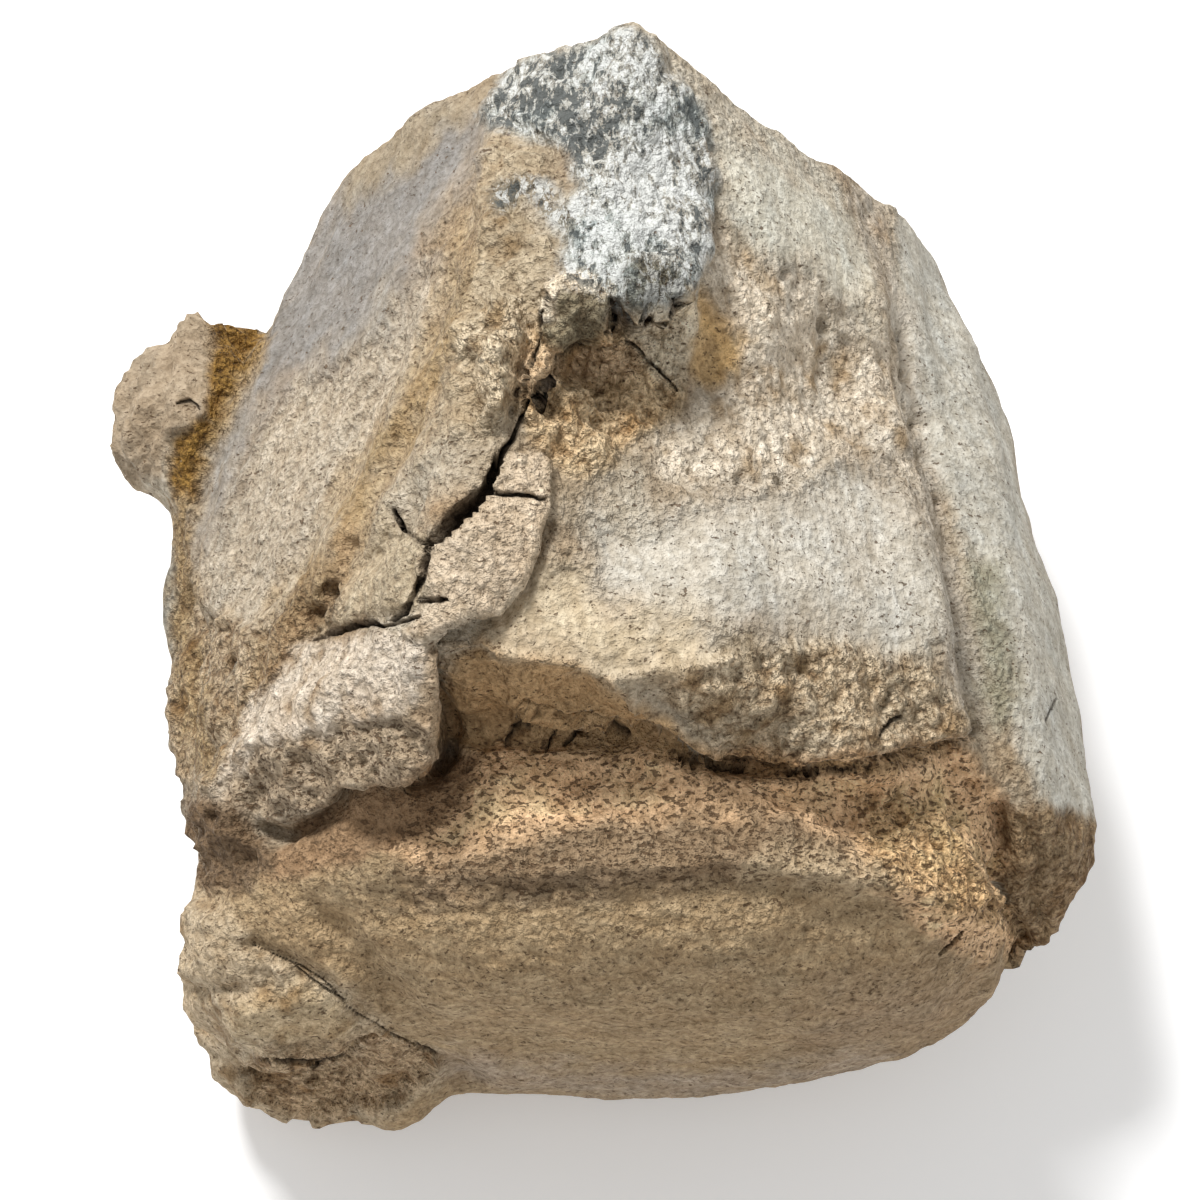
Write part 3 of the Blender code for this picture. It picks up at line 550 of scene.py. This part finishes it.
def outline_mask(spots, outline, soft):
    """1 inside an outline in the picture and 0 outside, with an edge this many pixels wide."""
    distance, _ = line_distance(spots, [*outline, outline[0]])
    within = np.zeros(len(spots), bool)
    x, y = spots.T
    for (ax, ay), (bx, by) in zip(outline, [*outline[1:], outline[0]]):
        crosses = (ay > y) != (by > y)
        reach = ax + (y - ay) * (bx - ax) / (by - ay if by != ay else 1)
        within ^= crosses & (x < reach)
    return np.clip(0.5 + np.where(within, distance, -distance) / soft, 0, 1)


def region_mask(name, spots, wobble, soft):
    """1 inside a named region or band and 0 outside, with an edge shaken by the wobble."""
    if name in REGIONS:
        return outline_mask(spots + wobble, REGIONS[name], soft)
    line, half = BANDS[name]
    distance, _ = line_distance(spots + wobble, line)
    return np.clip(0.5 + (half - distance) / soft, 0, 1)


class Skin:
    """The dense mesh and what is known at each of its points."""

    def __init__(self, mesh):
        self.mesh = mesh
        self.measure()

    def measure(self):
        count = len(self.mesh.vertices)
        flat = np.empty(count * 3)
        self.mesh.vertices.foreach_get("co", flat)
        self.points = flat.reshape(-1, 3) / MM
        self.normals = np.array([corner.normal[:] for corner in self.mesh.vertices])
        self.spots = to_picture(self.points)

    def look(self):
        """How plainly the camera sees each point, from 0 to 1."""
        faces = [face.vertices[:] for face in self.mesh.polygons]
        tree = BVHTree.FromPolygons([Vector(p) for p in self.points], faces)
        sight = EYE - self.points
        reach = np.linalg.norm(sight, axis=1)
        sight = sight / reach[:, None]
        facing = np.einsum("ij,ij->i", sight, self.normals)
        seen = np.clip((facing + 0.1) / 0.25, 0, 1)
        for i in np.nonzero(seen > 0)[0]:
            start = Vector(self.points[i] + self.normals[i] * 1.2)
            away = tree.ray_cast(start, Vector(sight[i]))[3]
            if away is not None and away > NEAR_OVERHANG:
                seen[i] = 0
        self.seen = seen

    def push(self, amount):
        """Moves each point out along its normal by so many millimetres."""
        moved = (self.points + self.normals * amount[:, None]) * MM
        self.mesh.vertices.foreach_set("co", moved.ravel())
        self.mesh.update()
        self.measure()


def dense_copy(node):
    """The solid's shape as an even skin of small squares, its facets rubbed down."""
    obj = bpy.data.objects.new("bone", node.data.copy())
    bpy.context.scene.collection.objects.link(obj)
    remesh = obj.modifiers.new("remesh", "REMESH")
    remesh.mode = "VOXEL"
    remesh.voxel_size = VOXEL * MM
    relax = obj.modifiers.new("relax", "SMOOTH")
    relax.factor = 0.5
    relax.iterations = RELAX
    graph = bpy.context.evaluated_depsgraph_get()
    mesh = bpy.data.meshes.new_from_object(obj.evaluated_get(graph))
    obj.modifiers.clear()
    obj.data = mesh
    return obj


def thin_hidden(obj, seen):
    """Makes the mesh coarser where the camera never sees it."""
    group = obj.vertex_groups.new(name="hidden")
    hidden = np.nonzero(seen <= 0)[0]
    group.add([int(i) for i in hidden], 1.0, "REPLACE")
    thin = obj.modifiers.new("thin", "DECIMATE")
    thin.ratio = 1 - (1 - HIDDEN_SHARE) * len(hidden) / len(seen)
    thin.vertex_group = "hidden"
    graph = bpy.context.evaluated_depsgraph_get()
    mesh = bpy.data.meshes.new_from_object(obj.evaluated_get(graph))
    obj.modifiers.clear()
    obj.vertex_groups.clear()
    obj.data = mesh


def refine(mesh, wanted):
    """Halves the edges that join two wanted points."""
    work = bmesh.new()
    work.from_mesh(mesh)
    edges = [e for e in work.edges if wanted[e.verts[0].index] and wanted[e.verts[1].index]]
    bmesh.ops.subdivide_edges(work, edges=edges, cuts=1, use_grid_fill=True)
    bmesh.ops.triangulate(work, faces=[f for f in work.faces if len(f.verts) > 4])
    work.to_mesh(mesh)
    work.free()


def fine_skin(obj):
    """The skin with more points where the camera sees it, and the most near cracks and deep seams."""
    skin = Skin(obj.data)
    skin.look()
    thin_hidden(obj, skin.seen)
    skin = Skin(obj.data)
    skin.look()
    plain = np.zeros(len(skin.points))
    for name in PLAIN:
        plain = np.maximum(plain, outline_mask(skin.spots, REGIONS[name], 1))
    refine(obj.data, (skin.seen > BARELY_SEEN) & (plain < 1))
    for crack_reach, seam_reach in FINER_REACH:
        skin.measure()
        skin.look()
        near = np.zeros(len(skin.points), bool)
        for line, _, _ in CRACKS_AND_SHADOW_LINES:
            near |= line_distance(skin.spots, line)[0] < crack_reach
        for line, _, height in SEAMS:
            if abs(height) > DEEP_SEAM:
                near |= line_distance(skin.spots, line)[0] < seam_reach
        refine(obj.data, near & (skin.seen > BARELY_SEEN))
    skin.measure()
    skin.look()
    return skin


def relief(skin, wobble):
    """How far the surface stands out at each point, in millimetres."""
    points, spots, seen = skin.points, skin.spots, skin.seen
    lumps, grains = np.full(len(points), BARE_ROUGHNESS[0]), np.full(len(points), BARE_ROUGHNESS[1])
    for name, (coarse, fine) in ROUGHNESS.items():
        mask = region_mask(name, spots, wobble, 12) * seen
        lumps += mask * (coarse - lumps)
        grains += mask * (fine - grains)
    grains *= 0.35 + 0.65 * seen

    push = np.zeros(len(points))
    for name, (height, soft) in STEPS.items():
        push += height * region_mask(name, spots, wobble * 0.5, soft) * seen
    for line, half, height in SEAMS:
        away = line_distance(spots + wobble * 0.4, line)[0] / half
        push += height * seen * np.exp(-away ** 2)
    push += lumps * (0.6 * wave(points, 14, 5, 3) + 0.55 * ridges(points, 9, 6))
    push += lumps ** 2 * 0.55 * terraces(points, 15, 21)
    push += grains * (1.3 * crumbs(points, 6.5, 9) + 0.9 * crumbs(points, 3.4, 10))
    push += grains * (0.7 * ridges(points, 4.2, 7) + 0.6 * wave(points, 2.6, 8, 1))
    for i, (name, (direction, height)) in enumerate(WORN_LINES.items()):
        lines = strokes(spots, direction, 9, 70, i)
        push += height * lines * region_mask(name, spots, wobble, 20) * seen
    for x, y, radius, depth in PITS:
        away = np.linalg.norm(spots + wobble * 0.35 - (x, y), axis=1) / radius
        push -= depth * seen * (1 - np.clip(away, 0, 1) ** 2) ** 1.5
    return push


def cuts_and_crack_shade(skin, wobble):
    """How deep the cracks and shadow lines go at each point, in millimetres, and how much painted shade they
    get, from 0 to 1.
    """
    cut, dark = np.zeros(len(skin.points)), np.zeros(len(skin.points))
    for line, halves, depth in CRACKS_AND_SHADOW_LINES:
        distance, place = line_distance(skin.spots + wobble * 0.25, line)
        half = np.interp(place, range(len(halves)), halves) * PIXELS_PER_MM
        cut = np.maximum(cut, depth * np.clip(1.15 - distance / half, 0, 1) * skin.seen)
        # The painted shade, reaching a little past the opening
        dark = np.maximum(dark, np.clip(1.5 - distance / half, 0, 1) * skin.seen)
    return cut, dark


def sculpt(obj):
    """Refines, roughens and cracks the skin, and has it painted."""
    skin = fine_skin(obj)
    points = skin.points
    wobble = np.stack([wave(points, 9, 1), wave(points, 9, 2)], axis=1) * 7
    wobble += np.stack([wave(points, 3, 3, 1), wave(points, 3, 4, 1)], axis=1) * 4
    skin.push(relief(skin, wobble))
    cut, crack_shade = cuts_and_crack_shade(skin, wobble)
    skin.push(-cut)
    skin.look()
    paint(obj, skin, wobble, crack_shade)


def cover(colour, share, hue):
    """The colour at each point with this share of another laid over it."""
    return colour + share[:, None] * (np.array(hue) - colour)


def on_ends(points):
    """How far each point is on the near end plate and on the far one, from 0 to 1."""
    near = np.clip((NEAR_PLATE_Y - points[:, 1]) / 8, 0, 1)
    far = np.clip((points[:, 1] - FAR_PLATE_Y) / 6, 0, 1)
    far *= np.clip((FAR_PLATE_TOP - points[:, 2]) / 12, 0, 1)
    return near, far


def ground_colour(points):
    """The colour of the bone where no region is: worn or dirty, with inner bone at both ends."""
    colour = np.tile(CORTEX, (len(points), 1))
    colour = cover(colour, np.clip(0.5 + 1.1 * wave(points, 34, 11), 0, 1), BARE)
    colour = cover(colour, np.clip(1.4 * wave(points, 22, 12, 3) - 0.1, 0, 1), MATRIX)
    for share in on_ends(points):
        colour = cover(colour, share, PLATE)
    return colour


def paint(obj, skin, wobble, crack_shade):
    """Colours the points by region and stores what the material's finer patterns need."""
    points, spots, seen = skin.points, skin.spots, skin.seen
    colour = ground_colour(points)
    for name, hue in COLOURS.items():
        soft = EDGES.get(name, USUAL_EDGE)
        colour = cover(colour, region_mask(name, spots, wobble * (1 + soft / 30), soft) * seen, hue)
    for i, (name, (direction, _)) in enumerate(WORN_LINES.items()):
        lines = strokes(spots, direction, 7, 60, i + 9) * region_mask(name, spots, wobble, 20) * seen
        colour *= 1 + lines[:, None] * np.array(LINE_CONTRAST)
    crumbly = np.zeros(len(points))
    for name in CRUMBLY:
        crumbly = np.maximum(crumbly, region_mask(name, spots, wobble * 1.5, 20) * seen)
    stained = np.clip(1.8 * wave(points, 7, 19, 3) - 0.15, 0, 1) * crumbly
    colour *= 1 - stained[:, None] * np.array(STAIN_DEPTH)
    bluish = np.clip(2.0 * wave(points, 13, 17) + 0.3, 0, 1) * region_mask("grey", spots, wobble, 10) * seen
    colour = cover(colour, 0.55 * bluish, BLUISH)
    patch = 1 + 0.10 * wave(points, 16, 13)[:, None] + 0.08 * wave(points, 5, 14)[:, None]
    warm = wave(points, 11, 15)[:, None] * np.array(WARMTH)
    colour = np.clip(colour * (patch + warm), 0.01, 0.96)

    store_patterns(obj.data, skin, wobble)
    # The painted shade of the cracks and shadow lines, for the material
    store(obj.data, "crack", crack_shade)
    tint = obj.data.color_attributes.new("tint", "FLOAT_COLOR", "POINT")
    opaque = np.column_stack([colour, np.ones(len(points))])
    tint.data.foreach_set("color", opaque.astype(np.float32).ravel())


def store_patterns(mesh, skin, wobble):
    """Stores on the mesh how strongly each point shows each of the finer patterns."""
    points, spots = skin.points, skin.spots
    for label, names in PATTERNS.items():
        value = np.zeros(len(points))
        for name in names:
            value = np.maximum(value, region_mask(name, spots, wobble, 14) * skin.seen)
        if label == "flecks":
            value *= 1 - 0.45 * region_mask("slate", spots, wobble, 10)
        store(mesh, label, value)
    store(mesh, "plate", on_ends(points)[0])
    clear = region_mask("fleck_white", spots, wobble, 30)
    dark = 0.75 * region_mask("fleck_dark", spots, wobble, 24) + 1.2 * wave(points, 11, 18, 3) - 0.7 * clear
    store(mesh, "dark_flecks", dark)
    store(mesh, "specks", np.clip(2.5 * wave(points, 7, 16) + 0.1, 0, 1))


def store(mesh, label, values):
    attribute = mesh.attributes.new(label, "FLOAT", "POINT")
    attribute.data.foreach_set("value", values.astype(np.float32))


class Nodes:
    """Short ways to add and join shader nodes."""

    def __init__(self, name):
        self.material = bpy.data.materials.new(name)
        self.material.use_nodes = True
        self.tree = self.material.node_tree
        self.shader = self.tree.nodes["Principled BSDF"]
        self.place = self.tree.nodes.new("ShaderNodeTexCoord").outputs["Object"]

    def add(self, kind, inputs=(), **settings):
        node = self.tree.nodes.new("ShaderNode" + kind)
        for key, value in settings.items():
            setattr(node, key, value)
        for key, value in dict(inputs).items():
            if isinstance(value, bpy.types.NodeSocket):
                self.tree.links.new(value, node.inputs[key])
            else:
                node.inputs[key].default_value = value
        return node

    def attribute(self, name, colour=False):
        node = self.add("Attribute", attribute_name=name)
        return node.outputs["Color" if colour else "Fac"]

    def drawn_out(self, scale, turn=0):
        place = {"Vector": self.place, "Rotation": (0, 0, turn), "Scale": scale}
        return self.add("Mapping", place).outputs[0]

    def noise(self, scale, detail, rough, where=None):
        inputs = {"Vector": where or self.place, "Scale": scale, "Detail": detail, "Roughness": rough}
        return self.add("TexNoise", inputs).outputs["Fac"]

    def cells(self, scale):
        return self.add("TexVoronoi", {"Vector": self.place, "Scale": scale}).outputs["Distance"]

    def math(self, operation, a, b=0.0):
        return self.add("Math", {0: a, 1: b}, operation=operation).outputs[0]

    def ramp(self, value, low, high):
        """0 below low and 1 above high, the other way round where low is above high."""
        inputs = {"Value": value, "From Min": low, "From Max": high}
        return self.add("MapRange", inputs, interpolation_type="SMOOTHSTEP").outputs[0]

    def mix(self, share, a, b, blend="MIX"):
        node = self.add("Mix", data_type="RGBA", blend_type=blend)
        for key, value in ((0, share), (6, a), (7, b)):
            if isinstance(value, bpy.types.NodeSocket):
                self.tree.links.new(value, node.inputs[key])
            else:
                node.inputs[key].default_value = value
        return node.outputs[2]


class Wear:
    """Shares that rise where the bone is rough and fall where it is smooth."""

    def __init__(self, nodes):
        self.nodes = nodes
        self.rough = nodes.attribute("rough")
        self.smooth = nodes.attribute("smooth")

    def share(self, base, in_rough, in_smooth):
        n = self.nodes
        more = n.math("ADD", base, n.math("MULTIPLY", self.rough, in_rough))
        return n.math("SUBTRACT", more, n.math("MULTIPLY", self.smooth, in_smooth))


def darken(n, share, colour, factors):
    """The colour with this share of it multiplied by the factors."""
    return n.mix(share, colour, n.mix(1.0, colour, factors, "MULTIPLY"))


def pore_holes(n, wear, middle):
    """Where the pores are: round ones in the inner bone, short dashes on the plate, crevices in the rough;
    the material darkens them as painted shade in the holes.
    """
    plate = n.attribute("plate")
    worms = n.noise(PORE_GRAIN, 2.0, 0.6, n.drawn_out((0.65, 1, 1)))
    inner = n.math("MULTIPLY", n.ramp(worms, 0.445, 0.385), n.attribute("pores"))
    crevice = n.math("MULTIPLY", n.ramp(middle, 0.37, 0.28), n.math("MULTIPLY", wear.rough, 0.75))
    chance = n.math("ADD", n.math("MULTIPLY", n.attribute("specks"), 0.035), n.math("MULTIPLY", plate, 0.012))
    dashes = n.ramp(n.math("SUBTRACT", worms, chance), 0.335, 0.305)
    return n.math("MAXIMUM", inner, n.math("MAXIMUM", crevice, dashes))


def grey_flecks(n, colour):
    """The white and the dark flecks of the grey patch."""
    flecks = n.attribute("flecks")
    grains = n.noise(FLECK_GRAIN, 4.0, 0.74, n.drawn_out((1, 0.45, 1), 0.7))
    scatter = n.math("ADD", grains, n.math("MULTIPLY", n.attribute("dark_flecks"), 0.08))
    dark = n.math("MULTIPLY", n.ramp(scatter, 0.54, 0.575), flecks)
    white = n.math("MULTIPLY", n.ramp(scatter, 0.49, 0.45), flecks)
    colour = n.mix(n.math("MULTIPLY", white, 0.72), colour, WHITE_FLECK)
    return n.mix(n.math("MULTIPLY", dark, 0.85), colour, DARK_FLECK)


def bone_material():
    """The stored colour with grain, grime and painted shade between crumbs, flakes with painted shade at
    their feet and in pits, pores, crevices and cracks darkened as painted shade, flecks, and a bump to match.
    """
    n = Nodes("fossil_bone")
    wear = Wear(n)
    tint = n.attribute("tint", colour=True)
    fine = n.noise(FINE_GRAIN, 3.0, 0.7)
    middle = n.noise(MIDDLE_GRAIN, 3.0, 0.65)
    crumb = n.cells(CRUMB_GRAIN)

    dark = n.mix(1.0, tint, SHADE, "MULTIPLY")
    light = n.mix(1.0, tint, SHINE, "MULTIPLY")
    colour = n.mix(wear.share(0.24, 0.14, 0.08), tint, n.mix(n.ramp(fine, 0.40, 0.60), dark, light))
    patches = n.mix(n.ramp(middle, 0.34, 0.66), PATCH_DARK, PATCH_LIGHT)
    colour = n.mix(0.9, colour, patches, "MULTIPLY")
    # Darker in the gaps between crumbs, where the bump is low: grime with painted shade
    gap_dirt_and_shade = n.math("MULTIPLY", n.ramp(crumb, 0.45, 0.78), wear.share(0.24, 0.34, 0.16))
    colour = darken(n, gap_dirt_and_shade, colour, DIRT_AND_SHADE)

    # Thin flakes, each a level step whose foot is darkened as painted shade, and pricked pits between them,
    # also darkened as painted shade
    level = n.math("MULTIPLY", middle, FLAKES)
    rise = n.math("FRACT", level)
    edge = n.ramp(rise, 0.80, 1.0)
    flaking = n.math("ADD", n.math("FLOOR", level), edge)
    foot = n.math("MULTIPLY", n.ramp(rise, 0.66, 0.76), n.math("SUBTRACT", 1.0, edge))
    foot_shade = n.math("MULTIPLY", foot, n.math("ADD", 0.08, n.math("MULTIPLY", wear.rough, 0.22)))
    prick = n.math("MULTIPLY", n.ramp(fine, 0.375, 0.335), wear.share(0.46, 0.30, 0.26))
    colour = darken(n, n.math("MAXIMUM", foot_shade, prick), colour, MARK_SHADE)

    speck = n.math("MULTIPLY", n.ramp(crumb, 0.17, 0.08), n.attribute("specks"))
    colour = n.mix(n.math("MULTIPLY", speck, 0.7), colour, SPECK)
    # Pores and crevices darkened as painted shade in the holes
    hole = pore_holes(n, wear, middle)
    colour = n.mix(n.math("MULTIPLY", hole, 0.78), colour, PORE_SHADE)
    colour = grey_flecks(n, colour)
    # Painted shade in the cracks and shadow lines
    colour = n.mix(n.math("MULTIPLY", n.attribute("crack"), 0.9), colour, CRACK_SHADE)
    n.tree.links.new(colour, n.shader.inputs["Base Color"])
    n.shader.inputs["Roughness"].default_value = FINISH_ROUGHNESS
    n.shader.inputs["Specular IOR Level"].default_value = FINISH_SPECULAR

    height = n.math("ADD", n.math("MULTIPLY", middle, 1.7), n.math("MULTIPLY", fine, 0.8))
    height = n.math("ADD", height, n.math("MULTIPLY", flaking, 0.17))
    height = n.math("SUBTRACT", height, n.math("MULTIPLY", crumb, 0.9))
    height = n.math("SUBTRACT", height, n.math("MULTIPLY", prick, 0.5))
    height = n.math("MULTIPLY", height, wear.share(1.0, 1.2, 0.55))
    height = n.math("SUBTRACT", height, n.math("MULTIPLY", hole, 0.8))
    bump = n.add("Bump", {"Strength": 1.0, "Distance": MM, "Height": height})
    n.tree.links.new(bump.outputs["Normal"], n.shader.inputs["Normal"])
    return n.material


def white_floor():
    work = bmesh.new()
    bmesh.ops.create_grid(work, x_segments=1, y_segments=1, size=FLOOR_HALF)
    mesh = bpy.data.meshes.new("floor")
    work.to_mesh(mesh)
    work.free()
    floor = bpy.data.objects.new("floor", mesh)
    bpy.context.scene.collection.objects.link(floor)
    paper = bpy.data.materials.new("white_paper")
    paper.use_nodes = True
    shader = paper.node_tree.nodes["Principled BSDF"]
    shader.inputs["Base Color"].default_value = PAPER
    shader.inputs["Emission Color"].default_value = WHITE
    shader.inputs["Emission Strength"].default_value = FLOOR_GLOW
    shader.inputs["Roughness"].default_value = 0.9
    shader.inputs["Specular IOR Level"].default_value = 0.0
    mesh.materials.append(paper)


def soft_light(name, place, target, size, power):
    lamp = bpy.data.lights.new(name, "AREA")
    lamp.size = size
    lamp.energy = power
    obj = bpy.data.objects.new(name, lamp)
    bpy.context.scene.collection.objects.link(obj)
    obj.location = place
    obj.rotation_mode = "QUATERNION"
    obj.rotation_quaternion = (Vector(target) - Vector(place)).to_track_quat("-Z", "Y")


def studio():
    world = bpy.data.worlds.new("studio")
    bpy.context.scene.world = world
    world.use_nodes = True
    sky = world.node_tree.nodes["Background"]
    sky.inputs["Color"].default_value = WHITE
    sky.inputs["Strength"].default_value = SKY_STRENGTH
    soft_light("key", KEY_PLACE, KEY_AIM, KEY_SIZE, KEY_POWER)
    bpy.context.scene.view_settings.view_transform = "Standard"


def camera():
    lens = bpy.data.cameras.new("camera")
    lens.sensor_width = SENSOR_MM
    lens.lens = SENSOR_MM * FOCAL_PIXELS / PICTURE
    obj = bpy.data.objects.new("camera", lens)
    bpy.context.scene.collection.objects.link(obj)
    obj.location = Vector(EYE) * MM
    obj.rotation_mode = "QUATERNION"
    obj.rotation_quaternion = Vector(-BACK).to_track_quat("-Z", "Y")
    bpy.context.scene.camera = obj


camera()
bone = dense_copy(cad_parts["vertebra"])
sculpt(bone)
bone.data.materials.clear()
bone.data.materials.append(bone_material())
bone.data.shade_smooth()
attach(bone, "root")
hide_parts("vertebra")
white_floor()
studio()
